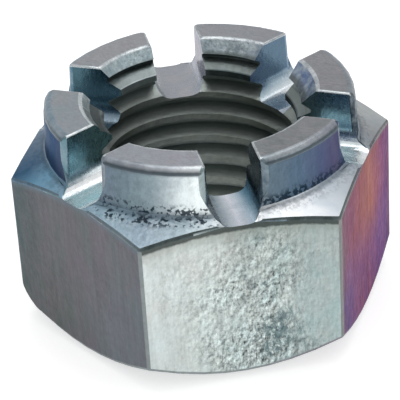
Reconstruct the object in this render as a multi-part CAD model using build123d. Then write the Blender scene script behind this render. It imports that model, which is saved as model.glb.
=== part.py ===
from build123d import *
import os
from math import cos, hypot, pi, radians, tan

# Castle nut, M30, in the proportions of DIN 935: a hexagonal body that carries a
# crown of six prongs. Millimetres, +Z up. The origin is the centre of the bearing
# face, and the hexagon has a corner on +X and a flat facing -Y.

# Body
hexagon_sides = 6
across_flats = 46.0
overall_height = 31.5
bearing_diameter = 42.8  # the flat ring that meets the washer
foot_chamfer_angle = 36.5  # degrees up from the bearing face
shoulder_corner_height = 22.5  # where the shoulder cone crosses the corners
shoulder_angle = 23.5  # degrees down from level

# Crown
crown_diameter = 42.0  # over the prongs, at their top
crown_draft = 3.0  # degrees that the outer wall leans out towards its root
crown_top_radius = 1.0  # rounded rim round the top of the prongs
crown_root_radius = 0.7  # fillet where the prongs rise from the shoulder
prong_side_radius = 1.0  # rounded upright edges at the mouths of the slots
prong_count = 6  # one on each corner of the hexagon

# Slots, for a split pin
slot_width = 7.0
slot_floor_height = 23.8
slot_corner_radius = 2.5  # inside corners along the slot's floor

# Bore, for an M30 x 3.5 thread. It stands at the thread's crests.
bore_diameter = 26.2
countersink_diameter = 32.0
countersink_angle = 45.0  # degrees from level

# Sizes that follow
corner_radius = across_flats / 2 / cos(pi / hexagon_sides)
crown_radius = crown_diameter / 2
slot_turn = 360 / prong_count
stock_margin = 2.0  # the turned stock is this much larger than the hexagon


def shoulder_height(radius):
    """Height of the shoulder cone at a distance from the axis."""
    return shoulder_corner_height + (corner_radius - radius) * tan(radians(shoulder_angle))


def crown_root():
    """Radius and height where the drafted outer wall meets the shoulder cone."""
    lean = tan(radians(crown_draft))
    slope = tan(radians(shoulder_angle))
    drop = overall_height - shoulder_height(crown_radius)
    depth = drop / (1 - lean * slope)
    return crown_radius + depth * lean, overall_height - depth


def turned_blank():
    """The whole section of the nut turned round its axis, wider than the hexagon."""
    stock_radius = corner_radius + stock_margin
    bearing_radius = bearing_diameter / 2
    bore_radius = bore_diameter / 2
    rim_radius = countersink_diameter / 2
    countersink_depth = (rim_radius - bore_radius) * tan(radians(countersink_angle))
    foot_rise = (stock_radius - bearing_radius) * tan(radians(foot_chamfer_angle))
    root_radius, root_height = crown_root()
    outline = Polyline(
        (bore_radius, countersink_depth),
        (rim_radius, 0),
        (bearing_radius, 0),
        (stock_radius, foot_rise),
        (stock_radius, shoulder_height(stock_radius)),
        (root_radius, root_height),
        (crown_radius, overall_height),
        (rim_radius, overall_height),
        (bore_radius, overall_height - countersink_depth),
        close=True,
    )
    section = make_face(outline)
    crown_top = section.vertices().sort_by_distance((crown_radius, overall_height))[0]
    section = fillet(crown_top, crown_top_radius)
    crown_foot = section.vertices().sort_by_distance((root_radius, root_height))[0]
    section = fillet(crown_foot, crown_root_radius)
    return revolve(Plane.XZ * section, Axis.Z)


def hexagon_bar():
    """The hexagonal bar that the nut is made from, with a corner on +X."""
    return extrude(RegularPolygon(corner_radius, hexagon_sides), overall_height)


def slot_cutter():
    """One slot from the axis outwards along +Y, round in its lower corners."""
    height = overall_height - slot_floor_height + stock_margin
    profile = Pos(0, slot_floor_height + height / 2) * Rectangle(slot_width, height)
    floor_corners = profile.vertices().sort_by(Axis.Y)[:2]
    profile = fillet(floor_corners, slot_corner_radius)
    return extrude(Plane.XZ * profile, -(corner_radius + stock_margin))


def is_mouth_edge(edge):
    """True for an upright edge between a slot's wall and the drafted outside of a prong."""
    middle = edge @ 0.5
    outside = hypot(middle.X, middle.Y) > countersink_diameter / 2
    above = middle.Z > shoulder_height(crown_radius)
    return edge.geom_type == GeomType.HYPERBOLA and outside and above


nut = turned_blank() & hexagon_bar()
nut -= [Rot(0, 0, turn * slot_turn) * slot_cutter() for turn in range(prong_count)]
mouths = nut.edges().filter_by(is_mouth_edge)
nut = fillet(mouths, prong_side_radius)

os.makedirs("parts", exist_ok=True)
export_step(nut, "parts/castle_nut.step")
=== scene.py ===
# %% [markdown]
# # A castle nut in zinc plate
# The nut is an M30 hexagon nut with a crown of six prongs. A split pin goes
# through two opposite slots and stops the nut from turning. The shape is already
# fixed as a CAD solid, so this lesson loads that solid for its size and place,
# builds the same nut again as a finely dressed mesh, and gives it a worn finish.

# %% Load the frame
import bmesh
import bpy
import math
from collections import namedtuple
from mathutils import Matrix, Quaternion, Vector


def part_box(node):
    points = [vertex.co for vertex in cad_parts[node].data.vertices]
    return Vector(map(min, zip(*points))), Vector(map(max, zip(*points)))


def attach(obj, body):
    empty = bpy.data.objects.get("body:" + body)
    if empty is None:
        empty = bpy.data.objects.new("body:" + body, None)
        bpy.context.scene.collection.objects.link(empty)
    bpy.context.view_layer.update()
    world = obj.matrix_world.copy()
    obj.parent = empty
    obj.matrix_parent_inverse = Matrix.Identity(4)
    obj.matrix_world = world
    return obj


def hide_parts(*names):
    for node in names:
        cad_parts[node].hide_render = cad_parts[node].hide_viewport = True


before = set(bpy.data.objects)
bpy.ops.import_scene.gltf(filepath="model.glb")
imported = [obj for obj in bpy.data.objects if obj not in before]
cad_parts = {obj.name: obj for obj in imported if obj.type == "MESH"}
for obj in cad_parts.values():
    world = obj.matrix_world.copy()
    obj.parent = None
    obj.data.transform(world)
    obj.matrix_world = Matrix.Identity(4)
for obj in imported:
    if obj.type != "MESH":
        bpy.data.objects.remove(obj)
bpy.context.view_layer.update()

mm = 0.001


# %% [markdown]
# ## The sizes of the nut
# Every size is written once here, in millimetres, under the name that a machinist
# would use. They could be read off the solid's mesh instead, but a named size can
# be used again in each later step. The box of the solid is printed beside them, so
# that a slip shows at once.

# %% Sizes
flat_turn = math.radians(60)
across_flats = 46.0
corner_radius = across_flats / 2 / math.cos(flat_turn / 2)
overall_height = 31.5
bearing_radius = 21.4
foot_chamfer = math.tan(math.radians(36.5))
shoulder_corner_height = 22.5
shoulder_slope = math.tan(math.radians(23.5))
crown_radius = 21.0
crown_lean = math.tan(math.radians(3.0))
slot_width = 7.0
slot_floor = 23.8
slot_corner = 2.5
root_round = 0.7
countersink_radius = 16.0
crest_radius = 13.1
groove_radius = 15.0
pitch = 3.5

low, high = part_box("castle_nut")
print("solid:", [round((b - a) / mm, 2) for a, b in zip(low, high)], "mm")
print("sizes:", round(2 * corner_radius, 2), across_flats, overall_height)


# %% [markdown]
# ## Small tools
# Operators act on whatever is selected, so a wrong selection is the usual cause of
# a broken mesh. These helpers keep that under control: one piece alone is selected,
# its edges are picked by a test on their place, and a modifier is put on and
# applied at once. The steps could be typed out each time, but a slip in one of the
# repeats is hard to find.

# %% Helpers
def only(piece):
    """Leave one piece selected and active, in object mode."""
    if bpy.context.object and bpy.context.object.mode != "OBJECT":
        bpy.ops.object.mode_set(mode="OBJECT")
    bpy.ops.object.select_all(action="DESELECT")
    piece.select_set(True)
    bpy.context.view_layer.objects.active = piece


def edit(piece, kind="VERT"):
    """Open one piece in edit mode with nothing on it selected."""
    only(piece)
    bpy.ops.object.mode_set(mode="EDIT")
    bpy.ops.mesh.select_mode(type=kind)
    bpy.ops.mesh.select_all(action="DESELECT")


def done():
    """Leave edit mode."""
    bpy.ops.object.mode_set(mode="OBJECT")


def weld(reach=1e-6):
    """Merge the vertices of the open piece that stand on each other."""
    bpy.ops.mesh.select_all(action="SELECT")
    bpy.ops.mesh.remove_doubles(threshold=reach)


def pick_edges(piece, test):
    """Select the edges whose two ends, in millimetres, pass a test."""
    edit(piece, "EDGE")
    done()
    places = [v.co / mm for v in piece.data.vertices]
    for edge in piece.data.edges:
        a, b = (places[i] for i in edge.vertices)
        edge.select = bool(test(a, b))
    bpy.ops.object.mode_set(mode="EDIT")


def apply_modifier(piece, name, kind, **values):
    """Add a modifier with its values and apply it."""
    only(piece)
    modifier = piece.modifiers.new(name, kind)
    for key, value in values.items():
        setattr(modifier, key, value)
    bpy.ops.object.modifier_apply(modifier=name)


def radius_of(place):
    """How far a place is from the axis."""
    return math.hypot(place.x, place.y)


# %% [markdown]
# ## Drawing a section
# A nut of this kind is forged and then turned, so its cones and its round crown
# share one section. A section could be a curve, but a line of vertices can be spun
# by an operator and checked by eye. It is drawn point by point, extruded from a
# single vertex, and its root has a small round corner, as the tool leaves it.

# %% Section tools
def shoulder_height(radius):
    """The height of the shoulder's cone at a distance from the axis."""
    return shoulder_corner_height + (corner_radius - radius) * shoulder_slope


def draw_section(name, points, closed=True):
    """Draw a line through (radius, height) points in the XZ plane, left in edit mode."""
    bpy.ops.object.select_all(action="DESELECT")
    bpy.ops.mesh.primitive_plane_add(size=mm, location=(0, 0, 0))
    piece = bpy.context.object
    piece.name = piece.data.name = name
    bpy.ops.object.mode_set(mode="EDIT")
    bpy.ops.mesh.select_mode(type="VERT")
    bpy.ops.mesh.select_all(action="SELECT")
    bpy.ops.mesh.merge(type="CENTER")
    bpy.ops.transform.translate(value=(points[0][0] * mm, 0, points[0][1] * mm))
    goals = points[1:] + points[:1] if closed else points[1:]
    for here, there in zip(points, goals):
        step = ((there[0] - here[0]) * mm, 0, (there[1] - here[1]) * mm)
        bpy.ops.mesh.extrude_region_move(TRANSFORM_OT_translate={"value": step})
    weld()
    return piece


def fillet(before, corner, after, radius, steps=3):
    """The points of a round corner between two straight lines."""
    here = Vector(corner)
    one = (Vector(before) - here).normalized()
    two = (Vector(after) - here).normalized()
    half = one.angle(two) / 2
    middle = here + (one + two).normalized() * radius / math.sin(half)
    start = here + one * radius / math.tan(half) - middle
    turn = (math.pi - 2 * half) * (1 if start.x * two.y - start.y * two.x > 0 else -1)
    points = []
    for step in range(steps + 1):
        a = turn * step / steps
        points.append((middle.x + start.x * math.cos(a) - start.y * math.sin(a),
                       middle.y + start.x * math.sin(a) + start.y * math.cos(a)))
    return points


crown_drop = overall_height - shoulder_height(crown_radius)
wall_length = crown_drop / (1 - crown_lean * shoulder_slope)
root_radius = crown_radius + wall_length * crown_lean
root_height = overall_height - wall_length
print("crown's root: radius", round(root_radius, 2), "at height", round(root_height, 2))

# %% [markdown]
# ## The turned blank
# The section is spun round the Z axis, as the bar turns in the lathe. The bore is
# left small here, because the thread is cut at the end, and the outside is left
# large for the hexagon. The spin has 48 steps. That puts every step well clear of
# the walls of the slots, where wide bevels come later.

# %% Draw and spin the section
spin_steps = 48
rough_bore = 11.0
stock_radius = 28.0
countersink_depth = countersink_radius - rough_bore

nut = draw_section("nut_body", [
    (rough_bore, countersink_depth),
    (countersink_radius, 0),
    (bearing_radius, 0),
    (stock_radius, (stock_radius - bearing_radius) * foot_chamfer),
    (stock_radius, shoulder_height(stock_radius)),
    *fillet((stock_radius, shoulder_height(stock_radius)), (root_radius, root_height),
            (crown_radius, overall_height), root_round),
    (crown_radius, overall_height),
    (countersink_radius, overall_height),
    (rough_bore, overall_height - countersink_depth),
])
bpy.ops.mesh.spin(steps=spin_steps, angle=math.tau, center=(0, 0, 0), axis=(0, 0, 1))
weld()
bpy.ops.mesh.normals_make_consistent(inside=False)
done()
print("turned blank:", len(nut.data.vertices), "vertices")

# %% [markdown]
# ## The hexagon
# A six-sided cylinder stands for the bar's flats, and only what both it and the
# blank hold is kept. The curved lines where the cones meet the flats could be
# worked out and drawn, but that one cut makes them all, and exactly.

# %% Cut the hexagon
cutter_spare = 4.0


def cut(name, cutter, operation="DIFFERENCE"):
    """Cut the nut with another solid and throw the cutter away."""
    apply_modifier(nut, name, "BOOLEAN", operation=operation, object=cutter, solver="EXACT")
    bpy.data.objects.remove(cutter)
    print("after", name.lower() + ":", len(nut.data.polygons), "faces")


bpy.ops.object.select_all(action="DESELECT")
bpy.ops.mesh.primitive_cylinder_add(
    vertices=6, radius=corner_radius * mm, depth=(overall_height + cutter_spare) * mm,
    location=(0, 0, overall_height / 2 * mm), rotation=(0, 0, flat_turn / 2))
hexagon = bpy.context.object
bpy.ops.object.transform_apply(location=True, rotation=True, scale=True)
cut("Hexagon", hexagon, "INTERSECT")

# %% [markdown]
# ## The slots
# The six slots are milled in three passes, each straight across the nut. They could
# be six pockets, but three long bars do as the cutter does, so opposite slots are
# sure to line up for the pin. The bar's lower edges are rounded first, as the
# corners of the milling cutter are, and each bar is the same one, turned further.

# %% Cut the slots
bar_height = 12.0
bar_length = 60.0
corner_segments = 6


def slot_bar(angle):
    """One cutter for a pair of slots, round along its lower edges."""
    middle = slot_floor + bar_height / 2
    bpy.ops.object.select_all(action="DESELECT")
    bpy.ops.mesh.primitive_cube_add(size=mm, location=(0, 0, 0))
    bar = bpy.context.object
    bar.scale = (slot_width, bar_length, bar_height)
    bar.location = (0, 0, middle * mm)
    bpy.ops.object.transform_apply(location=True, rotation=False, scale=True)
    pick_edges(bar, lambda a, b: max(a.z, b.z) < middle and abs(a.y - b.y) > bar_length / 2)
    bpy.ops.mesh.bevel(offset=slot_corner * mm, segments=corner_segments, profile=0.5,
                       affect="EDGES")
    done()
    bar.rotation_euler = (0, 0, angle)
    bpy.ops.object.transform_apply(location=False, rotation=True, scale=False)
    return bar


for number in range(3):
    cut("Slot pair %d" % (number + 1), slot_bar(math.radians(60 * number)))
edit(nut)
weld(2e-6)
done()

# %% [markdown]
# ## The thread
# The thread is right-handed with a pitch of 3.5 mm. Plain rings would look alike
# from afar, but through the slots the eye sees that they don't climb. So a tap is
# made as a machinist would: one tooth is drawn for one turn, the Screw modifier
# winds it round the axis, its ends are cut level and closed, and it is cut out of
# the nut. The start angle and the place of the crests are those of the real nut.

# %% Wind the tap
turns = 12
thread_steps = 72
tap_low = -2.0
tap_high = overall_height + 2.0
crest_flat = pitch / 4
groove_flat = pitch / 8
flank = (pitch - crest_flat - groove_flat) / 2
top_crest = overall_height - 4.1
turns_below = 10
first_crest = top_crest - turns_below * pitch
start_angle = math.radians(78)

tooth_low = first_crest - crest_flat / 2
tap = draw_section("tap", [
    (crest_radius, tooth_low),
    (crest_radius, tooth_low + crest_flat),
    (groove_radius, tooth_low + crest_flat + flank),
    (groove_radius, tooth_low + pitch - flank),
    (crest_radius, tooth_low + pitch),
], closed=False)
done()
tap.rotation_euler = (0, 0, start_angle)
bpy.ops.object.transform_apply(location=True, rotation=True, scale=True)
apply_modifier(tap, "Wind", "SCREW", axis="Z", angle=math.tau, screw_offset=pitch * mm,
               iterations=turns, steps=thread_steps, render_steps=thread_steps,
               use_merge_vertices=True, merge_threshold=1e-6, use_smooth_shade=False)
edit(tap)
weld(2e-6)
zs = [v.co.z / mm for v in tap.data.vertices]
print("tap wound from", round(min(zs), 2), "to", round(max(zs), 2))

# %% Close the tap and cut the thread
for height, lower in ((tap_low, True), (tap_high, False)):
    bpy.ops.mesh.select_all(action="SELECT")
    bpy.ops.mesh.bisect(plane_co=(0, 0, height * mm), plane_no=(0, 0, 1), threshold=1e-6,
                        use_fill=True, clear_inner=lower, clear_outer=not lower)
bpy.ops.mesh.select_all(action="SELECT")
bpy.ops.mesh.quads_convert_to_tris()
bpy.ops.mesh.normals_make_consistent(inside=False)
done()
cut("Thread", tap)

# %% [markdown]
# ## The worn corner
# One corner of the hexagon has had a hard life: its foot is rubbed round, as if the
# nut had been dragged over concrete. A wide bevel can't do it, because the foot's
# curved edges run into each other there. Five plane cuts, each turned a little
# further than the last, stand for that round, and smooth shading runs them together.

# %% Wear the corner on the -X side
wear_radius = 5.5
wear_cuts = 5
wear_turn = math.pi / 2 - math.atan(foot_chamfer)
knee_height = (corner_radius - bearing_radius) * foot_chamfer
wear_top = knee_height + wear_radius * math.tan(wear_turn / 2)
wear_centre = Vector((wear_radius - corner_radius, 0, wear_top))
edit(nut)
for step in range(1, wear_cuts + 1):
    lean = wear_turn * step / (wear_cuts + 1)
    facing = Vector((-math.cos(lean), 0, -math.sin(lean)))
    point = wear_centre + facing * wear_radius
    bpy.ops.mesh.select_all(action="SELECT")
    bpy.ops.mesh.bisect(plane_co=point * mm, plane_no=facing, threshold=1e-6,
                        use_fill=True, clear_outer=True)
done()
print("worn corner starts", round(wear_top, 2), "mm above the foot")

# %% [markdown]
# ## Where a place lies
# The plate looks different on each surface, because each was made in its own way:
# drawn flats, a turned shoulder, milled slots and a cut thread. Faces could be
# picked by hand, but their numbers change with each cut. So a face is told apart by
# its place, while the mesh is still simple. A flat cut is exact. The middle of a
# face on a round lies a little inside the round, so the tests there are wider, and
# the widest is that of the crown's wall, which takes in the start of its root.

# %% Tell places apart
plane_slack = 0.02
slot_slack = 0.05
cone_slack = 0.06
wall_slack = 0.08
wall_foot = root_height + 0.3


def slot_place(place):
    """Turn a place into its slot's own frame: across the slot, then along it."""
    angle = math.atan2(place.y, place.x) - flat_turn / 2
    nearest = round(angle / flat_turn) * flat_turn + flat_turn / 2
    across = -place.x * math.sin(nearest) + place.y * math.cos(nearest)
    along = place.x * math.cos(nearest) + place.y * math.sin(nearest)
    return across, along


def slot_gap(place):
    """How far a place lies outside the slot's surface, in millimetres."""
    across = abs(slot_place(place)[0])
    drop = slot_floor + slot_corner - place.z
    if drop <= 0:
        return across - slot_width / 2
    inner = slot_width / 2 - slot_corner
    if across < inner:
        return drop - slot_corner
    return math.hypot(across - inner, drop) - slot_corner


def on_slot(place):
    return abs(slot_gap(place)) < slot_slack


def on_flat(place):
    return abs(slot_place(place)[1] - across_flats / 2) < plane_slack


def on_wall(place):
    """True on the crown's leaning wall, above the round at its root."""
    wall = crown_radius + (overall_height - place.z) * crown_lean
    return abs(radius_of(place) - wall) < wall_slack and place.z > wall_foot


def on_shoulder(place):
    return abs(place.z - shoulder_height(radius_of(place))) < cone_slack


def on_countersink(place):
    """True on the cone at either end of the bore."""
    from_end = overall_height / 2 - abs(place.z - overall_height / 2)
    return abs(countersink_radius - radius_of(place) - from_end) < cone_slack


def on_chamfer(place):
    """True on the cone round the bearing face."""
    return abs(place.z - (radius_of(place) - bearing_radius) * foot_chamfer) < cone_slack


def flat_name(place):
    """The flats in front have names of their own, by sixths of a turn from +X."""
    sixth = math.floor(math.atan2(place.y, place.x) / flat_turn)
    return {-3: "flat_left", -2: "flat_front", -1: "flat_right"}.get(sixth, "flats_back")


corner = Vector((corner_radius, 0, overall_height / 2))
print("at the +X corner: across the slot, along it", [round(v, 2) for v in slot_place(corner)])

# %% [markdown]
# ## A material for each surface
# The whole nut is one bath of zinc, and one material with masks could dress it. A
# material for each surface is easier to read and to change, so each gets its own,
# and the edges' names stand ready for the bevels. The flats differ among
# themselves too, by how they lay in the bath and by the painted light and shade of
# each side.

# %% Name the surfaces
def surface_of(place):
    """The name of the surface that a face belongs to."""
    if place.z > overall_height - plane_slack:
        return "tops"
    if place.z < plane_slack:
        return "foot"
    if place.z > slot_floor - 0.1 and on_slot(place):
        return "slots"
    if on_countersink(place):
        return "countersinks"
    if radius_of(place) < groove_radius + 0.1:
        return "thread"
    if on_wall(place):
        return "crown"
    if on_shoulder(place) or place.z > slot_floor + 0.2:
        return "shoulder"
    return "foot" if on_chamfer(place) else flat_name(place)


surfaces = ["flat_left", "flat_front", "flat_right", "flats_back", "shoulder", "crown",
            "tops", "slots", "countersinks", "thread", "foot",
            "rims", "lips", "mouths", "ridges", "corners"]
finish = {}
for surface in surfaces:
    finish[surface] = bpy.data.materials.new("zinc_" + surface)
    nut.data.materials.append(finish[surface])
tally = dict.fromkeys(surfaces, 0)
for face in nut.data.polygons:
    surface = surface_of(face.center / mm)
    face.material_index = surfaces.index(surface)
    tally[surface] += 1
print("faces by surface:", {name: number for name, number in tally.items() if number})

# %% [markdown]
# ## Rounded edges
# No edge on a real forging is sharp. One bevel with one width would do for a plain
# block. Here each edge has its own width, through its weight: the upright edges at
# the mouths of the slots and the rim of the crown are widely rounded, the hexagon
# narrowly, and the feet of the slots hardly at all. At the rear the mouths are
# rubbed rounder than at the front. The new faces are then named by the edge that
# they came from.

# %% Widths of the edges
mouth_round = 1.8
front_mouth_round = 1.1
rim_round = 1.0
edge_round = 0.32
burr_round = 0.12
sharp = 0.0
beside_thread = groove_radius + 0.2
worn_side = 3 - corner_radius
mouth_foot = slot_floor + slot_corner - 1.0


def edge_size(a, b):
    """The width of the bevel on an edge, in millimetres."""
    height = (a.z + b.z) / 2
    radius = min(radius_of(a), radius_of(b))
    across = min(abs(slot_place(a)[0]), abs(slot_place(b)[0]))
    # Beside the thread the faces are too narrow for a bevel.
    if radius < beside_thread and max(a.z, b.z) > 2:
        return sharp
    if min(a.z, b.z) > overall_height - 0.01:
        return rim_round if on_wall(a) and on_wall(b) else edge_round
    # The floor of a slot runs out over its flat in a clean line.
    if (on_flat(a) or on_flat(b)) and across < 2.0 and height > slot_floor - 0.2:
        return sharp
    # The worn corner is round already.
    if max(a.x, b.x) < worn_side and height < wear_top - plane_slack:
        return sharp
    # The width of a mouth grows over a millimetre, up to the top of the slot's corner.
    if on_slot(a) and on_slot(b) and radius > crown_radius - 0.1:
        widest = mouth_round if a.y > 0 else front_mouth_round
        share = min(max(height - mouth_foot, 0), 1)
        return burr_round + (widest - burr_round) * share
    return edge_round


def edge_surface(place):
    """The name of the edge that a bevel's face came from."""
    radius = radius_of(place)
    on_rim = place.z > overall_height - rim_round and radius > crown_radius - rim_round
    if on_rim and slot_gap(place) > 0.7:
        return "rims"
    if place.z > overall_height - 0.4 and radius < crown_radius - 0.5:
        return "lips"
    if place.z > slot_floor - 0.5 and slot_gap(place) < mouth_round - 0.1:
        return "mouths"
    if place.z > shoulder_corner_height - 1.0:
        return "ridges"
    if place.z < (radius - bearing_radius) * foot_chamfer + 0.5:
        return "foot"
    return "corners"


print("widths:", mouth_round, front_mouth_round, rim_round, edge_round, burr_round, "mm")

# %% Weigh the edges and bevel them
least_turn = math.radians(28)
bevel_segments = 4

work = bmesh.new()
work.from_mesh(nut.data)
weights = work.edges.layers.float.new("bevel_weight_edge")
count = {}
for edge in work.edges:
    if edge.is_convex and edge.calc_face_angle(0) > least_turn:
        a, b = (v.co / mm for v in edge.verts)
        size = edge_size(a, b)
        edge[weights] = size / mouth_round
        count[round(size, 2)] = count.get(round(size, 2), 0) + 1
work.to_mesh(nut.data)
work.free()
first_edge = surfaces.index("rims")
apply_modifier(nut, "Edges", "BEVEL", width=mouth_round * mm, segments=bevel_segments,
               limit_method="WEIGHT", use_clamp_overlap=False, miter_outer="MITER_SHARP",
               material=first_edge)
for face in nut.data.polygons:
    if face.material_index == first_edge:
        face.material_index = surfaces.index(edge_surface(face.center / mm))
print("edges by width:", count, "faces now:", len(nut.data.polygons))

# %% Shade it smooth
smooth_limit = math.radians(35)

only(nut)
bpy.ops.object.shade_smooth_by_angle(angle=smooth_limit)
apply_modifier(nut, "Normals", "WEIGHTED_NORMAL", mode="FACE_AREA", weight=50, keep_sharp=True)
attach(nut, "root")
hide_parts("castle_nut")
print("triangles:", sum(len(face.vertices) - 2 for face in nut.data.polygons))


# %% [markdown]
# ## Tools for the finishes
# A material is a small machine of nodes. It could be wired by hand in the editor,
# but in code the same few moves come again and again: make a node and fill its
# inputs, do a sum, read a noise, stretch a range. Each gets a short name here. A
# colour is given as it looks on a screen, and turned into the linear values that
# the renderer works with.

# %% Node helpers
def srgb(red, green, blue):
    """A screen colour, 0 to 255 in each part, as linear values."""
    parts = [c / 255 for c in (red, green, blue)]
    return tuple(c / 12.92 if c < 0.04 else ((c + 0.055) / 1.055) ** 2.4
                 for c in parts) + (1.0,)


def fill(tree, made, inputs):
    """Link a node's inputs to sockets, or set them to plain values."""
    for key, value in inputs.items():
        if isinstance(value, bpy.types.NodeSocket):
            tree.links.new(value, made.inputs[key])
        else:
            made.inputs[key].default_value = value
    return made


def node(tree, kind, inputs, **settings):
    """Make a node, set it and fill its inputs."""
    made = tree.nodes.new("ShaderNode" + kind)
    for key, value in settings.items():
        setattr(made, key, value)
    return fill(tree, made, inputs)


def calc(tree, operation, *values):
    """The result of one sum."""
    return node(tree, "Math", dict(enumerate(values)), operation=operation).outputs[0]


def times(tree, one, other):
    return calc(tree, "MULTIPLY", one, other)


def between(tree, value, start, stop, low=0.0, high=1.0):
    """Turn start to stop into low to high, and hold it level outside."""
    return node(tree, "MapRange", {"Value": value, "From Min": start, "From Max": stop,
                                   "To Min": low, "To Max": high}).outputs["Result"]


def noise(tree, place, size, detail, **more):
    """Soft noise, mostly between 0.3 and 0.7, with about this many lumps to a metre."""
    inputs = {"Vector": place, "Scale": size, "Detail": detail, **more}
    return node(tree, "TexNoise", inputs).outputs["Fac"]


def stretched(tree, place, stretch):
    """The same place with its height scaled: below 1, a pattern on it grows upright."""
    scale = node(tree, "CombineXYZ", {"X": 1.0, "Y": 1.0, "Z": stretch}).outputs[0]
    return node(tree, "VectorMath", {0: place, 1: scale}, operation="MULTIPLY").outputs[0]


def mix_colour(tree, factor, first, second):
    return node(tree, "Mix", {0: factor, 6: first, 7: second}, data_type="RGBA").outputs[2]


def new_group(name, inputs, outputs):
    """An empty node group: inputs are (name, kind, default), outputs are (name, kind)."""
    group = bpy.data.node_groups.new(name, "ShaderNodeTree")
    for label, kind, default in inputs:
        socket = group.interface.new_socket(name=label, in_out="INPUT",
                                            socket_type="NodeSocket" + kind)
        if default is not None:
            socket.default_value = default
    for label, kind in outputs:
        group.interface.new_socket(name=label, in_out="OUTPUT", socket_type="NodeSocket" + kind)
    entry = group.nodes.new("NodeGroupInput")
    leave = group.nodes.new("NodeGroupOutput")
    return group, entry.outputs, leave.inputs


print("white on a screen is", srgb(255, 255, 255)[0], "and mid grey", round(srgb(128, 0, 0)[0], 3))

# %% [markdown]
# ## Turn: where round the nut
# Zinc plate is sealed in a chromate bath that leaves a film thinner than the
# wavelength of light, and it shines in colours that depend on how thick it is. The
# film drifts from side to side of the nut. A painted map could hold that, but the
# angle round the axis needs no map and no seam. This group gives the angle as a
# number from 0 to 1, made a little uneven by noise, so that no colour ends on a
# ruled line.

# %% The turn group
tree, given, made = new_group(
    "Turn round the axis",
    [("Vector", "Vector", None), ("Wobble", "Float", 0.01), ("Wobble Size", "Float", 400.0)],
    [("Turn", "Float")])
x, y = node(tree, "SeparateXYZ", {0: given["Vector"]}).outputs[:2]
turn = calc(tree, "MULTIPLY_ADD", calc(tree, "ARCTAN2", y, x), 1 / math.tau, 0.5)
shift = calc(tree, "SUBTRACT", noise(tree, given["Vector"], given["Wobble Size"], 3.0), 0.5)
tree.links.new(calc(tree, "ADD", turn, times(tree, shift, given["Wobble"])), made["Turn"])
turn_group = tree
print(tree.name, len(tree.nodes), "nodes")

# %% [markdown]
# ## Film drift
# The film is never even: it drifts between its own colour and a tint, in soft
# patches. On a drawn flat the patches follow the bar, so they can be stretched
# upright. A second ramp of colours could do it, but patches of one tint are easier
# to steer.

# %% The film group
tree, given, made = new_group(
    "Film drift",
    [("Vector", "Vector", None), ("Colour", "Color", None), ("Tint", "Color", None),
     ("Amount", "Float", 0.5), ("Size", "Float", 150.0), ("Stretch", "Float", 1.0)],
    [("Colour", "Color")])
place = stretched(tree, given["Vector"], given["Stretch"])
drift = noise(tree, place, given["Size"], 4.0, Roughness=0.6, Distortion=0.4)
mask = times(tree, between(tree, drift, 0.38, 0.66), given["Amount"])
tree.links.new(mix_colour(tree, mask, given["Colour"], given["Tint"]), made["Colour"])
film_group = tree
print(tree.name, len(tree.nodes), "nodes")

# %% [markdown]
# ## Drawn streaks
# Drawing the bar through its die leaves fine upright lines on the flats. Modelled
# grooves would be far finer than the mesh. Noise that is stretched twelvefold gives
# the same look. It is 1 in a light line and 0 in a dark one.

# %% The streak group
tree, given, made = new_group(
    "Drawn streaks",
    [("Vector", "Vector", None), ("Size", "Float", 1300.0), ("Stretch", "Float", 0.08)],
    [("Mask", "Float")])
place = stretched(tree, given["Vector"], given["Stretch"])
lines = noise(tree, place, given["Size"], 3.0, Roughness=0.65)
tree.links.new(between(tree, lines, 0.3, 0.7), made["Mask"])
streak_group = tree
print(tree.name, len(tree.nodes), "nodes")

# %% [markdown]
# ## Forged relief
# A forged skin is crumbly, and a light from one side shows it: each lump has a
# light side and a dark one. A bump alone is too weak under soft lamps. So the same
# noise is read twice, a hair apart, and the difference is light on one side of a
# lump and dark on the other. The lumps gather in clusters, as rust pits do.

# %% The relief group
slope_gain = 6.0

tree, given, made = new_group(
    "Forged relief",
    [("Vector", "Vector", None), ("Size", "Float", 1100.0), ("Stretch", "Float", 0.7),
     ("Reach", "Float", 0.12 * mm), ("Clusters", "Float", 0.5), ("Cluster Size", "Float", 130.0)],
    [("Shade", "Float"), ("Height", "Float")])
place = stretched(tree, given["Vector"], given["Stretch"])
step = node(tree, "CombineXYZ", {"X": given["Reach"], "Y": given["Reach"],
                                 "Z": times(tree, given["Reach"], -1.0)}).outputs[0]
moved = node(tree, "VectorMath", {0: place, 1: step}, operation="ADD").outputs[0]
here = noise(tree, place, given["Size"], 3.0, Roughness=0.6)
there = noise(tree, moved, given["Size"], 3.0, Roughness=0.6)
slope = times(tree, calc(tree, "SUBTRACT", here, there), slope_gain)
plain = calc(tree, "SUBTRACT", 1.0, given["Clusters"])
lumps = noise(tree, given["Vector"], given["Cluster Size"], 2.0)
shade = times(tree, slope, between(tree, lumps, 0.4, 0.62, plain, 1.0))
shade = calc(tree, "MAXIMUM", calc(tree, "MINIMUM", shade, 1.0), -1.0)
tree.links.new(shade, made["Shade"])
tree.links.new(here, made["Height"])
relief_group = tree
print(tree.name, len(tree.nodes), "nodes")

# %% [markdown]
# ## Specks and pits
# The bath leaves small pits and dark grains, and they gather in patches. Single
# dots could be scattered as geometry, but there are thousands. Where a fine noise,
# raised by a broad one, passes a level, there is a speck. More cover lowers the
# level.

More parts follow.
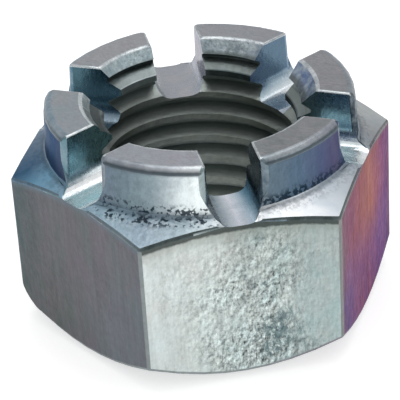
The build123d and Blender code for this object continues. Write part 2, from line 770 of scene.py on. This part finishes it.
# %% The speck group
tree, given, made = new_group(
    "Specks and pits",
    [("Vector", "Vector", None), ("Size", "Float", 1400.0), ("Cover", "Float", 0.5),
     ("Patch Size", "Float", 120.0), ("Stretch", "Float", 0.5)],
    [("Mask", "Float"), ("Height", "Float")])
place = stretched(tree, given["Vector"], given["Stretch"])
grains = noise(tree, place, given["Size"], 5.0, Roughness=0.7, Distortion=0.6)
patches = noise(tree, given["Vector"], given["Patch Size"], 2.0)
raised = calc(tree, "ADD", grains, calc(tree, "MULTIPLY_ADD", patches, 0.6, -0.3))
level = calc(tree, "SUBTRACT", 0.86, times(tree, given["Cover"], 0.5))
mask = between(tree, raised, level, calc(tree, "ADD", level, 0.12))
tree.links.new(mask, made["Mask"])
tree.links.new(raised, made["Height"])
speck_group = tree
print(tree.name, len(tree.nodes), "nodes")

# %% [markdown]
# ## Crumbs
# At the root of the crown the bath left a rough ring of crumbs, which are denser
# than the specks and have hard borders. The way is the same as for specks, with a
# plainer noise and a steeper step, because a soft border would look like a smudge.

# %% The crumb group
tree, given, made = new_group(
    "Crumbs",
    [("Vector", "Vector", None), ("Size", "Float", 1500.0), ("Cover", "Float", 0.5),
     ("Patch Size", "Float", 350.0)],
    [("Mask", "Float")])
grains = noise(tree, given["Vector"], given["Size"], 2.0)
patches = noise(tree, given["Vector"], given["Patch Size"], 1.0)
raised = calc(tree, "MULTIPLY_ADD", patches, 0.5, grains)
level = calc(tree, "SUBTRACT", 1.25, given["Cover"])
mask = between(tree, raised, level, calc(tree, "ADD", level, 0.07))
tree.links.new(mask, made["Mask"])
crumb_group = tree
print(tree.name, len(tree.nodes), "nodes")

# %% [markdown]
# ## Bands: near an edge or a root
# Dirt and dark plate gather in a ring, and painted shade lies in rings too, such as
# the one at the root of the crown. A vertex group could mark it, but a ring of one
# height or one radius is simply a range of that value. This group gives 1 inside
# the range and 0 outside, with a ragged border. All its lengths are in millimetres.

# %% The band group
tree, given, made = new_group(
    "Ragged band",
    [("Vector", "Vector", None), ("Value", "Float", 0.0), ("Low", "Float", 0.0),
     ("High", "Float", 1.0), ("Soft", "Float", 0.3), ("Ragged", "Float", 0.5),
     ("Size", "Float", 1200.0)],
    [("Mask", "Float")])
shift = calc(tree, "SUBTRACT", noise(tree, given["Vector"], given["Size"], 3.0), 0.5)
shift = times(tree, shift, times(tree, given["Ragged"], 4.0))
value = calc(tree, "ADD", given["Value"], shift)
full = calc(tree, "ADD", given["Low"], given["Soft"])
fade = calc(tree, "SUBTRACT", given["High"], given["Soft"])
mask = times(tree, between(tree, value, given["Low"], full),
             between(tree, value, fade, given["High"], 1.0, 0.0))
tree.links.new(mask, made["Mask"])
band_group = tree
print(tree.name, len(tree.nodes), "nodes")


# %% [markdown]
# ## The parts of the recipe
# Every plated surface is bright metal under a film, so all materials are built from
# the same parts. A ramp gives a colour for each place round the nut, the film's, with
# painted reflections and highlights on some surfaces. A band is one ring of dirt,
# bare metal, painted shade or a painted highlight, and it follows the height, the
# radius, or the depth below the cone of the shoulder. With crumbs it breaks up into
# that many to a metre. All of it
# could be typed into each of the sixteen materials, but then a change would have to
# be made sixteen times.

# %% Ramps, bands and grain
Band = namedtuple("Band", "measure low high soft ragged colour strength crumbs", defaults=[0])
beyond = 99.0  # a height in millimetres that no part of the nut reaches
quiet_grain = 0.25


def greys(*stops):
    """Colour stops in plain grey, from (place, level)."""
    return [(position, (level, level, level)) for position, level in stops]


def ramp(tree, factor, stops):
    """A colour ramp through (place, colour) stops."""
    made = tree.nodes.new("ShaderNodeValToRGB")
    elements = made.color_ramp.elements
    while len(elements) > 1:
        elements.remove(elements[0])
    elements[0].position, elements[0].color = stops[0][0], srgb(*stops[0][1])
    for position, colour in stops[1:]:
        elements.new(position).color = srgb(*colour)
    tree.links.new(factor, made.inputs["Fac"])
    return made.outputs["Color"]


def place_group(tree, group, **inputs):
    """Put one of the shared groups into a material, with its own values."""
    made = tree.nodes.new("ShaderNodeGroup")
    made.node_tree = group
    return fill(tree, made, inputs).outputs


def measures(tree, here):
    """What a band can follow, in millimetres."""
    place = node(tree, "VectorMath", {0: here, "Scale": 1 / mm}, operation="SCALE").outputs[0]
    x, y, z = node(tree, "SeparateXYZ", {0: place}).outputs
    radius = calc(tree, "SQRT", calc(tree, "ADD", times(tree, x, x), times(tree, y, y)))
    cone = calc(tree, "MULTIPLY_ADD", radius, -shoulder_slope, shoulder_height(0))
    return {"height": z, "radius": radius, "below": calc(tree, "SUBTRACT", cone, z)}


def film_and_reflection_colour(tree, here, height, turn, high, low, change):
    """The colour round the nut, the film's with painted reflections and highlights, from the low
    ramp to the high one over a height.
    """
    colour = ramp(tree, turn, high)
    if not low:
        return colour
    start, stop = change
    mask = place_group(tree, band_group, Vector=here, Value=height, Low=start, High=beyond,
                       Soft=stop - start, Ragged=0.15 * (stop - start), Size=300.0)["Mask"]
    return mix_colour(tree, mask, ramp(tree, turn, low), colour)


def grain_strength(tree, here, height, turn, coarse, top):
    """How strong the grain is: a grey ramp round the nut, and quieter above the top."""
    if not coarse:
        return 1.0
    low_down = place_group(tree, band_group, Vector=here, Value=height, Low=-beyond, High=top,
                           Soft=5.0, Ragged=0.6, Size=250.0)["Mask"]
    level = calc(tree, "MULTIPLY_ADD", low_down, 1 - quiet_grain, quiet_grain)
    return times(tree, ramp(tree, turn, coarse), level)


print("a band holds:", ", ".join(Band._fields))


# %% [markdown]
# ## One recipe for the plated surfaces
# The parts are put together from the skin inwards: the film's colour and its drift,
# then streaks and relief as light and shade, then specks, then the bands in their
# order. The pits are also rougher than the plate, and one bump over all gives the
# light something to catch on. Some surfaces tint their reflections at a low angle,
# because the film does so there.

# %% The recipe
bump_depth = 0.3 * mm
lump_height = 1.5
speck_height = -0.3


def plate(name, high, low=None, change=(6, 20), tint=(150, 150, 155), drift=0.4,
          drift_size=160.0, drift_stretch=1.0, streak=0.1, relief=0.15, relief_size=1100.0,
          relief_stretch=0.7, clusters=0.5, speck=(60, 70, 75), cover=0.3, speck_size=1500.0,
          speck_stretch=0.5, speck_strength=0.8, bands=(), coarse=None, coarse_top=beyond,
          edge_tint=None, roughness=(0.28, 0.5), bump=0.2, wobble=0.012):
    """Fill the material of one surface, from its ramps and the strength of each effect."""
    material = finish[name]
    material.use_nodes = True
    tree = material.node_tree
    shader = tree.nodes["Principled BSDF"]
    shader.inputs["Metallic"].default_value = 1.0
    if edge_tint:
        shader.inputs["Specular Tint"].default_value = srgb(*edge_tint)
    here = tree.nodes.new("ShaderNodeTexCoord").outputs["Object"]
    measure = measures(tree, here)
    turn = place_group(tree, turn_group, Vector=here, Wobble=wobble)["Turn"]
    grain = grain_strength(tree, here, measure["height"], turn, coarse, coarse_top)

    colour = film_and_reflection_colour(tree, here, measure["height"], turn, high, low, change)
    colour = place_group(tree, film_group, Vector=here, Colour=colour, Tint=srgb(*tint),
                         Amount=drift, Size=drift_size, Stretch=drift_stretch)["Colour"]
    lines = place_group(tree, streak_group, Vector=here)["Mask"]
    lumps = place_group(tree, relief_group, Vector=here, Size=relief_size,
                        Stretch=relief_stretch, Clusters=clusters)
    shade = calc(tree, "MULTIPLY_ADD", lines, 2 * streak, 1 - streak)
    shade = calc(tree, "MULTIPLY_ADD", lumps["Shade"], times(tree, grain, relief), shade)
    colour = node(tree, "VectorMath", {0: colour, "Scale": shade}, operation="SCALE").outputs[0]
    dots = place_group(tree, speck_group, Vector=here, Size=speck_size, Cover=cover,
                       Stretch=speck_stretch)
    dark = times(tree, dots["Mask"], times(tree, grain, speck_strength))
    colour = mix_colour(tree, dark, colour, srgb(*speck))
    for band in bands:
        ring = place_group(tree, band_group, Vector=here, Value=measure[band.measure],
                           Low=band.low, High=band.high, Soft=band.soft,
                           Ragged=band.ragged)["Mask"]
        if band.crumbs:
            crumbs = place_group(tree, crumb_group, Vector=here, Size=band.crumbs)["Mask"]
            ring = times(tree, times(tree, ring, crumbs), grain)
        ring = times(tree, ring, band.strength)
        colour = mix_colour(tree, ring, colour, srgb(*band.colour))
    tree.links.new(colour, shader.inputs["Base Color"])

    rough = between(tree, dots["Height"], 0.3, 0.8, *roughness)
    tree.links.new(rough, shader.inputs["Roughness"])
    height = calc(tree, "ADD", times(tree, lumps["Height"], lump_height),
                  times(tree, dots["Mask"], speck_height))
    bumped = node(tree, "Bump", {"Strength": bump, "Distance": bump_depth,
                                 "Height": times(tree, height, grain)})
    tree.links.new(bumped.outputs["Normal"], shader.inputs["Normal"])
    print(material.name + ":", len(tree.nodes), "nodes,", len(bands), "bands")


# %% [markdown]
# ## The left flat
# The film's colours are written as stops round the nut, from 0 at the corner on the
# -X side, through the front, and round to 1 at that corner again. On the flats the
# stops also hold painted light and shade, so that each flat is as bright as its side
# looks under the lamps. The corners of the hexagon stand at sixths. A plain colour
# would look like paint, so even this quiet flat has two ramps, for its upper and its
# lower part. It is a dull grey with a breath of purple.

# %% Finish the left flat
# The dark tone holds painted shade as well as the film.
plate("flat_left", [
    (0.0, (62, 82, 86)), (0.02, (80, 86, 90)), (0.06, (92, 94, 98)), (0.12, (90, 96, 98)),
    (0.1667, (90, 100, 104)), (0.98, (60, 80, 86)),
], low=[
    (0.0, (60, 78, 76)), (0.04, (76, 84, 82)), (0.09, (90, 94, 98)), (0.13, (98, 108, 114)),
    (0.1667, (96, 104, 110)), (0.98, (58, 74, 76)),
], tint=(104, 92, 104), drift=0.5, drift_size=260.0, drift_stretch=0.4, streak=0.1,
    relief=0.12, speck=(120, 126, 130), cover=0.25, speck_strength=0.4, bump=0.1,
    bands=[Band("below", -0.5, 1.2, soft=0.9, ragged=0.15, colour=(92, 112, 124), strength=0.5)])

# %% [markdown]
# ## The front flat
# The front flat is pale, partly from a painted reflection, and coarse, with dark
# crumbs that thicken to the middle and low down. The grey ramp holds them back at
# both ends, which one strength for the whole flat can't do. A line of painted shade
# lies under the ridge.

# %% Finish the front flat
# The pale stops hold a painted reflection as well as the film.
plate("flat_front", [
    (0.1667, (202, 211, 210)), (0.195, (204, 213, 211)), (0.225, (186, 196, 194)),
    (0.25, (158, 170, 168)), (0.29, (154, 170, 168)), (0.3333, (150, 168, 168)),
], low=[
    (0.1667, (200, 210, 210)), (0.21, (190, 202, 200)), (0.26, (172, 186, 185)),
    (0.3333, (158, 178, 178)),
], tint=(186, 184, 180), drift=0.4, drift_size=260.0, drift_stretch=0.7, streak=0.1,
    relief=0.95, relief_size=1300.0, clusters=0.55, speck=(88, 112, 118), cover=0.56,
    speck_size=2200.0, speck_strength=0.85, bump=0.55, roughness=(0.35, 0.6),
    coarse=greys((0.1667, 110), (0.195, 130), (0.212, 200), (0.228, 248), (0.28, 248),
                 (0.302, 176), (0.3333, 140)),
    coarse_top=23.0,
    bands=[Band("below", -0.5, 2.6, soft=1.4, ragged=0.35, colour=(132, 136, 128), strength=0.45),
           # The next band is a line of painted shade under the ridge.
           Band("below", -0.5, 1.1, soft=0.3, ragged=0.14, colour=(56, 64, 62), strength=0.88)])

# %% [markdown]
# ## The right flat
# Here the film is thick enough to shine: magenta and orange high up, violet to blue
# low down. Blender can work out such colours from a film's thickness, but they
# would change with the view, and ramps hold them where they belong. The reflections
# are tinted too, so that they don't turn white at a low angle.

# %% Finish the right flat
plate("flat_right", [
    (0.3333, (108, 106, 102)), (0.342, (108, 96, 104)), (0.355, (108, 76, 96)),
    (0.38, (128, 80, 80)), (0.41, (140, 92, 68)), (0.43, (154, 102, 62)),
    (0.455, (130, 78, 82)), (0.475, (98, 58, 106)), (0.50, (68, 58, 106)),
], low=[
    (0.3333, (86, 92, 114)), (0.345, (80, 84, 130)), (0.37, (92, 76, 126)),
    (0.40, (108, 72, 110)), (0.43, (100, 64, 112)), (0.46, (80, 58, 122)),
    (0.50, (66, 64, 118)),
], change=(9, 16), tint=(146, 86, 84), drift=0.35, drift_size=460.0, drift_stretch=0.22,
    streak=0.28, relief=0.16, speck=(84, 66, 100), cover=0.4, speck_strength=0.5,
    edge_tint=(222, 196, 210), bump=0.15, wobble=0.03,
    bands=[Band("below", -0.5, 0.9, soft=0.4, ragged=0.1, colour=(96, 98, 92), strength=0.7)])

# %% [markdown]
# ## The rear flats
# The three flats at the rear share one material. Their stops come in pairs at the
# corners, so that each flat keeps a tone of its own, as three materials would give,
# with a third of the nodes.

# %% Finish the rear flats
plate("flats_back", [
    (0.0, (76, 92, 104)), (0.50, (104, 96, 120)), (0.52, (130, 134, 138)),
    (0.60, (150, 158, 160)), (0.663, (130, 136, 148)), (0.67, (168, 178, 178)),
    (0.75, (156, 170, 170)), (0.83, (136, 148, 156)), (0.837, (116, 112, 126)),
    (0.92, (124, 108, 124)), (0.99, (78, 94, 106)),
], tint=(140, 140, 150), drift=0.45, drift_size=240.0, drift_stretch=0.5, streak=0.1,
    relief=0.2, cover=0.35, speck_strength=0.5)

# %% [markdown]
# ## The shoulder
# The shoulder was turned after forging and is the brightest part, most of all to
# the front right, where its near white is a painted reflection. Where it meets the
# prongs the bath left a rough ring of dark and bright crumbs. Modelled crumbs would
# be lost in the mesh's own facets, so they are bands: one of painted shade in the
# crease at the root of the prongs, one of bright crumbs, one of dark.

# %% Finish the shoulder
plate("shoulder", [
    (0.0, (38, 84, 118)), (0.03, (108, 156, 184)), (0.08, (140, 168, 186)),
    (0.13, (156, 180, 192)), (0.1667, (152, 168, 180)), (0.20, (162, 176, 182)),
    # These near-white stops at the front right are a painted reflection.
    (0.235, (206, 214, 216)), (0.25, (244, 248, 250)), (0.30, (250, 252, 254)),
    (0.3333, (226, 232, 238)), (0.37, (190, 198, 206)), (0.41, (164, 172, 180)),
    (0.46, (150, 154, 158)), (0.50, (178, 182, 182)), (0.6, (135, 145, 150)),
    (0.75, (150, 160, 165)), (0.9, (110, 130, 150)), (1.0, (38, 84, 118)),
], tint=(128, 156, 178), drift=0.2, drift_size=300.0, streak=0.0, relief=0.14,
    relief_size=900.0, relief_stretch=1.0, speck=(80, 94, 106), cover=0.2, speck_strength=0.5,
    coarse=greys((0.0, 120), (0.09, 150), (0.12, 255), (0.225, 255), (0.245, 150),
                 (0.35, 130), (0.5, 150), (1.0, 120)),
    # The first band is painted shade in the crease at the root of the crown.
    bands=[Band("radius", 20.8, 22.2, soft=0.5, ragged=0.15, colour=(60, 82, 98), strength=0.55),
           Band("radius", 21.4, 24.0, soft=0.7, ragged=0.2, colour=(226, 234, 238),
                strength=0.15, crumbs=1300.0),
           Band("radius", 21.0, 23.4, soft=0.8, ragged=0.25, colour=(28, 42, 54),
                strength=0.92, crumbs=1900.0)])

# %% [markdown]
# ## The crown and its tops
# The prongs run from white, partly a painted reflection, through steel blue to
# purple, and their feet stand in painted shade and in the same crumbs as the
# shoulder's. A line of painted shade also runs under the rim. A gradient up each
# prong would need its own axis, so the ramp runs round the nut and passes one prong
# after the other. The tops were cut off level and are a duller grey.

# %% Finish the crown and the tops
plate("crown", [
    (0.0, (34, 56, 84)), (0.03, (48, 68, 98)), (0.05, (76, 84, 106)), (0.115, (108, 122, 134)),
    # The white stops near 0.2 are partly a painted reflection.
    (0.14, (112, 130, 138)), (0.17, (138, 154, 160)), (0.20, (216, 226, 228)),
    (0.22, (232, 240, 240)), (0.285, (92, 110, 120)), (0.32, (78, 100, 120)),
    (0.35, (76, 84, 112)), (0.375, (84, 78, 104)), (0.39, (58, 66, 94)), (0.45, (58, 84, 92)),
    (0.55, (80, 84, 112)), (0.66, (80, 94, 120)), (0.78, (62, 88, 98)), (0.89, (50, 84, 98)),
    (1.0, (40, 64, 92)),
], tint=(96, 106, 124), drift=0.25, drift_size=260.0, streak=0.05, relief=0.14,
    speck=(52, 66, 80), cover=0.22, speck_strength=0.6, edge_tint=(182, 194, 210),
    coarse=greys((0.0, 120), (0.09, 150), (0.12, 255), (0.33, 255), (0.38, 190), (0.5, 150),
                 (1.0, 120)),
    # Painted shade: a line under the rim, then a soft ring at the root of the prongs.
    bands=[Band("height", 30.2, 31.6, soft=0.3, ragged=0.04, colour=(84, 98, 108), strength=0.4),
           Band("height", 23.0, 25.5, soft=0.7, ragged=0.2, colour=(50, 66, 82), strength=0.65),
           Band("height", 23.0, 26.6, soft=0.9, ragged=0.25, colour=(28, 42, 54),
                strength=0.92, crumbs=1900.0)])
plate("tops", [
    (0.0, (146, 158, 164)), (0.2, (162, 166, 174)), (0.3, (124, 130, 132)),
    (0.5, (142, 144, 148)), (0.6667, (152, 156, 162)), (0.8333, (160, 162, 166)),
    (1.0, (146, 158, 164)),
], tint=(160, 154, 160), drift=0.4, drift_size=420.0, streak=0.0, relief=0.16,
    relief_stretch=1.0, speck=(186, 192, 196), cover=0.3, speck_strength=0.5,
    roughness=(0.4, 0.6), bump=0.3)

# %% [markdown]
# ## The slots
# Milled floors catch the light in painted highlights, and the walls of the slots keep
# a deep teal film.
# Floor and walls could be two materials, but the round corner between them would
# show the join. One material changes from its low ramp to its high one at the top
# of that corner.

# %% Finish the slots
plate("slots", [
    (0.0, (110, 160, 166)), (0.06, (147, 188, 196)), (0.11, (130, 150, 162)),
    (0.22, (110, 120, 130)), (0.28, (34, 74, 98)), (0.39, (110, 120, 150)),
    (0.45, (132, 164, 172)), (0.55, (116, 122, 152)), (0.615, (84, 106, 124)),
    (0.72, (98, 96, 116)), (0.78, (120, 140, 150)), (0.89, (66, 96, 106)),
    (0.95, (96, 120, 136)), (1.0, (110, 160, 166)),
], low=[
    # The near-white stops on the floors are painted highlights.
    (0.0, (214, 226, 232)), (0.055, (250, 252, 254)), (0.09, (252, 254, 255)),
    (0.11, (150, 172, 186)), (0.14, (140, 160, 174)), (0.22, (122, 142, 150)),
    (0.236, (160, 172, 180)), (0.25, (222, 226, 236)), (0.262, (176, 194, 208)),
    (0.272, (86, 126, 148)), (0.285, (46, 86, 110)), (0.39, (214, 228, 232)),
    (0.42, (250, 254, 255)), (0.45, (222, 234, 238)), (0.48, (130, 160, 168)),
    (0.555, (190, 200, 214)), (0.60, (236, 242, 246)), (0.618, (150, 180, 196)),
    (0.74, (172, 172, 178)), (0.79, (146, 154, 162)), (0.87, (110, 130, 146)),
    (0.92, (150, 162, 172)), (1.0, (200, 214, 220)),
], change=(24.4, 26.2), tint=(110, 140, 154), drift=0.2, drift_size=300.0, streak=0.0,
    relief=0.08, speck=(70, 94, 108), cover=0.15, roughness=(0.2, 0.35), bump=0.1,
    wobble=0.006)

# %% [markdown]
# ## The countersinks and the thread
# The countersinks are scraped bright above a dark ring. The thread was cut in oil:
# its grooves are dark and its crests are rubbed pale. Painted stripes would have to
# follow the helix, but the mesh has real grooves, and light hardly reaches them. So
# one band by radius paints a highlight on the flanks beside the crests, one paints
# the grooves paler against their shade, and two by height darken the mouth of the bore.

# %% Finish the countersinks and the thread
plate("countersinks", [
    (0.0, (130, 142, 146)), (0.46, (112, 130, 150)), (0.5, (98, 118, 156)),
    (0.56, (112, 128, 150)), (0.6667, (134, 146, 152)), (0.8333, (156, 174, 180)),
    (1.0, (130, 142, 146)),
], tint=(196, 206, 208), drift=0.5, drift_size=600.0, streak=0.0, relief=0.35,
    relief_stretch=1.0, speck=(70, 84, 90), cover=0.4, speck_stretch=1.0,
    roughness=(0.25, 0.5), bump=0.4,
    bands=[Band("height", 27.0, 30.2, soft=0.4, ragged=0.06, colour=(86, 94, 92), strength=0.75)])
plate("thread", [
    (0.0, (150, 160, 160)), (0.45, (100, 110, 114)), (0.55, (70, 80, 82)), (0.7, (66, 76, 78)),
    (0.76, (190, 202, 204)), (0.8333, (222, 234, 238)), (1.0, (150, 160, 160)),
], low=[
    (0.0, (146, 150, 142)), (0.5, (132, 140, 134)), (0.7, (140, 146, 140)),
    (0.8333, (158, 164, 160)), (1.0, (146, 150, 142)),
], change=(25.2, 26.4), tint=(136, 148, 148), drift=0.35, drift_size=300.0, streak=0.0,
    relief=0.14, speck=(84, 88, 82), cover=0.3, roughness=(0.3, 0.5), bump=0.15,
    # A painted highlight on the flanks beside the crests, then the grooves painted paler against
    # their shade.
    bands=[Band("radius", 13.2, 14.3, soft=0.1, ragged=0.02, colour=(162, 170, 168),
                strength=0.55),
           Band("radius", 14.1, 16.5, soft=0.5, ragged=0.03, colour=(142, 152, 150), strength=0.9),
           Band("height", 26.9, 32.0, soft=0.5, ragged=0.1, colour=(84, 94, 94), strength=0.35),
           Band("height", 28.8, 32.0, soft=0.3, ragged=0.04, colour=(44, 56, 58), strength=0.75)])

# %% [markdown]
# ## The edges
# Edges rub against everything, so most are bare and bright, and the bright lips and
# mouths also carry painted highlights. Wear is often painted by a mask of the mesh's
# curvature. Here each bevel already has a name, so each has its own ramp. The rim of
# the crown has a painted highlight along its top, with a line of painted shade under
# it. The ridge between the shoulder and the flats is painted dark at the front, as
# the shade under that edge. The foot is as dull as the flats above it.

# %% Finish the rims, the lips and the mouths
# The bright stops at the front are a painted highlight along the rim.
plate("rims", [
    (0.0, (120, 142, 156)), (0.10, (128, 136, 146)), (0.15, (138, 144, 152)),
    (0.19, (168, 174, 180)), (0.22, (214, 220, 222)), (0.27, (132, 142, 148)),
    (0.32, (154, 162, 168)), (0.36, (146, 150, 160)), (0.45, (120, 130, 138)),
    (0.6, (130, 140, 152)), (0.8, (136, 146, 156)), (1.0, (120, 142, 156)),
], tint=(214, 220, 224), drift=0.25, drift_size=500.0, streak=0.0, relief=0.1,
    relief_stretch=1.0, speck=(80, 92, 100), cover=0.12, roughness=(0.25, 0.45), bump=0.1,
    # The band is a line of painted shade under the rim.
    bands=[Band("height", 30.3, 31.2, soft=0.3, ragged=0.03, colour=(54, 68, 76), strength=0.85)])
# The bright colour is bare rubbed zinc and a painted highlight together.
plate("lips", [
    (0.0, (186, 196, 200)), (0.3, (150, 158, 162)), (0.5, (166, 174, 180)),
    (0.7, (160, 168, 174)), (1.0, (186, 196, 200)),
], tint=(240, 244, 246), drift=0.5, drift_size=700.0, streak=0.0, relief=0.2,
    relief_stretch=1.0, speck=(120, 128, 134), cover=0.3, roughness=(0.2, 0.4))
# Over their film, these stops paint the highlights and the shade of the rounded mouths.
plate("mouths", [
    (0.0, (96, 122, 132)), (0.055, (98, 128, 138)), (0.08, (120, 150, 160)),
    (0.112, (110, 118, 128)), (0.21, (170, 182, 184)), (0.225, (110, 126, 128)),
    (0.279, (84, 98, 108)), (0.30, (88, 108, 120)), (0.387, (74, 84, 108)),
    (0.446, (42, 52, 60)), (0.55, (100, 106, 136)), (0.615, (92, 120, 144)),
    (0.72, (130, 126, 146)), (0.78, (110, 130, 142)), (0.89, (74, 108, 126)),
    (1.0, (110, 140, 150)),
], tint=(170, 184, 190), drift=0.3, drift_size=700.0, streak=0.0, relief=0.15,
    relief_stretch=1.0, cover=0.2, roughness=(0.2, 0.4), bump=0.15)

# %% Finish the ridges, the corners and the foot
plate("ridges", [
    (0.0, (84, 110, 130)), (0.08, (106, 122, 134)), (0.16, (110, 124, 130)),
    # These dark stops across the front are painted shade under the ridge.
    (0.172, (66, 76, 76)), (0.25, (60, 70, 68)), (0.328, (66, 76, 76)),
    (0.34, (110, 116, 116)), (0.42, (100, 100, 104)), (0.5, (110, 108, 112)),
    (0.75, (96, 106, 108)), (1.0, (84, 110, 130)),
], tint=(120, 130, 132), drift=0.3, drift_size=500.0, streak=0.0, relief=0.2,
    relief_stretch=1.0, cover=0.3)
plate("corners", [
    (0.0, (76, 94, 102)), (0.16, (112, 120, 122)), (0.17, (132, 140, 140)),
    (0.33, (122, 126, 124)), (0.34, (122, 122, 122)), (0.5, (96, 88, 120)),
    (0.75, (130, 136, 140)), (1.0, (76, 94, 102)),
], tint=(140, 146, 148), drift=0.4, drift_size=500.0, streak=0.05, relief=0.15, cover=0.3)
plate("foot", [
    (0.0, (90, 100, 106)), (0.25, (150, 158, 158)), (0.4, (110, 94, 116)),
    (0.7, (120, 126, 130)), (1.0, (90, 100, 106)),
], tint=(120, 124, 128), drift=0.4, speck=(66, 74, 80), cover=0.4)

# %% [markdown]
# ## The floor
# The nut stands on a wide white floor, as in a small product studio. Enough lamps
# would wash the floor white, but the nut with it. So the floor is plain white paint
# with a little light of its own, seen only by the camera and in reflections. It
# stays white without more light on the nut, and keeps the nut's shadow.

# %% Floor
floor_side = 4.0
floor_white = (0.8, 0.8, 0.8, 1)
floor_glow = 0.55

bpy.ops.object.select_all(action="DESELECT")
bpy.ops.mesh.primitive_plane_add(size=floor_side, location=(0, 0, 0))
floor = bpy.context.object
floor.name = floor.data.name = "floor"
paint = bpy.data.materials.new("floor_paint")
paint.use_nodes = True
tree = paint.node_tree
tree.nodes.clear()
rays = node(tree, "LightPath", {}).outputs
mirrored = calc(tree, "MAXIMUM", rays["Is Glossy Ray"], rays["Is Transmission Ray"])
seen = calc(tree, "MAXIMUM", rays["Is Camera Ray"], mirrored)
matt = node(tree, "BsdfDiffuse", {"Color": floor_white})
glow = node(tree, "Emission", {"Color": (1, 1, 1, 1), "Strength": times(tree, seen, floor_glow)})
both = node(tree, "AddShader", {0: matt.outputs[0], 1: glow.outputs[0]})
node(tree, "OutputMaterial", {"Surface": both.outputs[0]})
floor.data.materials.append(paint)
print("floor:", floor_side, "m square")

# %% [markdown]
# ## Lamps and world
# Metal shows what stands round it, so the light matters as much as the finish. Small
# lamps would leave hard spots. One large soft lamp hangs over the nut, a smaller one
# stands to its right, and a plain pale world fills the rest.

# %% Lamps and world
target = Vector((0, 0, 13.8 * mm))
world_level = 0.76


def lamp(name, place, size, radiance):
    """A square soft lamp that faces the nut and looks as bright as stated, in metres."""
    data = bpy.data.lights.new(name, "AREA")
    data.size = size
    data.energy = radiance * math.pi * size ** 2
    piece = bpy.data.objects.new(name, data)
    bpy.context.scene.collection.objects.link(piece)
    piece.location = place
    piece.rotation_mode = "QUATERNION"
    piece.rotation_quaternion = (piece.location - target).to_track_quat("Z", "Y")
    print(name, "at", place, "gives", round(data.energy, 3), "W")


lamp("softbox", place=(0.05, 0.12, 0.55), size=0.40, radiance=1.0)
lamp("side_light", place=(0.45, -0.30, 0.25), size=0.20, radiance=1.2)

world = bpy.data.worlds.new("studio")
bpy.context.scene.world = world
world.use_nodes = True
background = world.node_tree.nodes["Background"].inputs
background["Color"].default_value = (world_level, world_level, world_level, 1)
bpy.context.scene.view_settings.view_transform = "Standard"

# %% [markdown]
# ## The camera
# A short lens would swell the near corner. A long one from 30 centimetres away keeps
# the nut's true proportions. It looks down at about 31 degrees, a little from the
# left of the front flat, and it is held slightly askew.

# %% Camera
azimuth = math.radians(-10.6)
elevation = math.radians(31.15)
roll = math.radians(-3.52)
distance = 297.4 * mm
lens = 192.63

back = Vector((math.sin(azimuth) * math.cos(elevation), -math.cos(azimuth) * math.cos(elevation),
               math.sin(elevation)))
camera_data = bpy.data.cameras.new("camera")
camera = bpy.data.objects.new("camera", camera_data)
bpy.context.scene.collection.objects.link(camera)
camera.location = target + back * distance
camera.rotation_mode = "QUATERNION"
camera.rotation_quaternion = back.to_track_quat("Z", "Y") @ Quaternion((0, 0, 1), roll)
camera_data.lens = lens
camera_data.sensor_width = 36
camera_data.shift_x = -0.0140
camera_data.shift_y = 0.0080
camera_data.clip_start = 0.01
bpy.context.scene.camera = camera
print("camera at", [round(v, 4) for v in camera.location], "with a lens of", lens, "mm")
